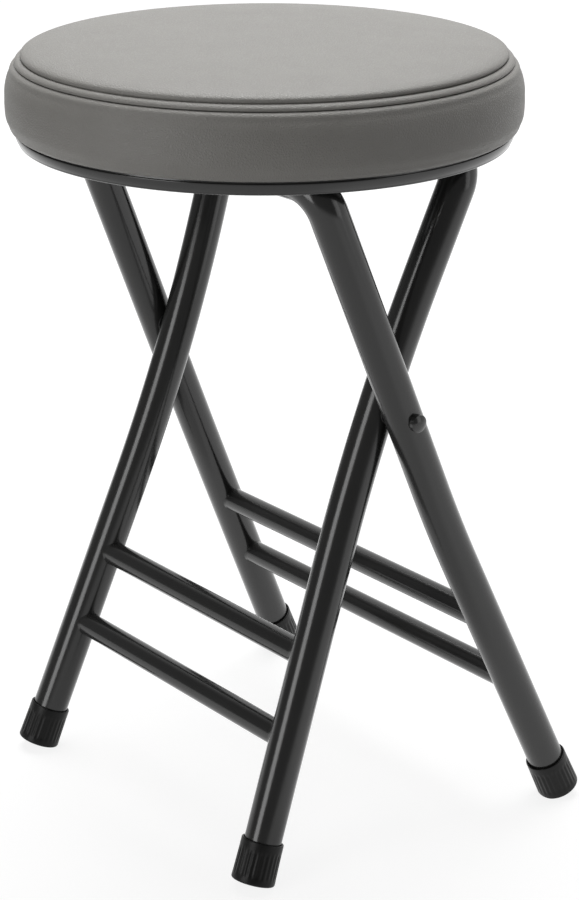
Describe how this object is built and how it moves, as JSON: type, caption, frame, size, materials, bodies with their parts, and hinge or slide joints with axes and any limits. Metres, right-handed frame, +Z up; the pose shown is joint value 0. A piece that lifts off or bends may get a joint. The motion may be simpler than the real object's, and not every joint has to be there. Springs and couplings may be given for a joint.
{
  "type": "folding stool",
  "caption": "Folding stool: a round padded seat on crossing tube frames that close about pivot rivets while the seat swings up on its hinge bar.",
  "frame": {"origin": "on the floor under the middle of the seat", "axes": "+Z up along the seat's axis, +X along the pivot rivets' axis, +Y towards the outer frame's feet"},
  "size_m": [0.3048, 0.3, 0.4665],
  "materials": {
    "black_paint": "semi-gloss black enamel on steel",
    "black_rubber": "matt moulded rubber",
    "black_nylon": "matt moulded nylon",
    "grey_vinyl": "fine-grained satin vinyl",
    "foam": "open-cell foam",
    "plywood": "sanded plywood",
    "zinc_plate": "bright zinc plating on steel"
  },
  "bodies": {
    "outer_legs": {"outer_frame": "black_paint", "outer_upper_rung": "black_paint", "outer_lower_rung": "black_paint", "outer_left_foot_cap": "black_rubber", "outer_right_foot_cap": "black_rubber", "left_pivot_rivet": "black_paint", "right_pivot_rivet": "black_paint", "left_pivot_spacer": "black_nylon", "right_pivot_spacer": "black_nylon"},
    "inner_legs": {"inner_frame": "black_paint", "inner_upper_rung": "black_paint", "inner_lower_rung": "black_paint", "inner_left_foot_cap": "black_rubber", "inner_right_foot_cap": "black_rubber"},
    "seat": {"seat_cover": "grey_vinyl", "seat_piping": "grey_vinyl", "foam_pad": "foam", "seat_board": "plywood", "seat_pan": "black_paint", "left_hinge_strap": "zinc_plate", "right_hinge_strap": "zinc_plate", "left_catch_hook": "zinc_plate", "right_catch_hook": "zinc_plate", "left_front_strap_screw": "zinc_plate", "left_rear_strap_screw": "zinc_plate", "right_front_strap_screw": "zinc_plate", "right_rear_strap_screw": "zinc_plate", "left_inner_hook_screw": "zinc_plate", "left_outer_hook_screw": "zinc_plate", "right_inner_hook_screw": "zinc_plate", "right_outer_hook_screw": "zinc_plate"}
  },
  "joints": [
    {"name": "frame_fold", "type": "hinge", "parent": "outer_legs", "child": "inner_legs", "pos_m": [0, 0.0055, 0.267], "axis": [1, 0, 0], "range_deg": [0, 30]},
    {"name": "seat_lift", "type": "hinge", "parent": "outer_legs", "child": "seat", "pos_m": [0, -0.05268, 0.4085], "axis": [1, 0, 0], "range_deg": [0, 79.5]}
  ],
  "couplings": [
    {"joint": "seat_lift", "follows": "frame_fold", "ratio": 2.65}
  ]
}
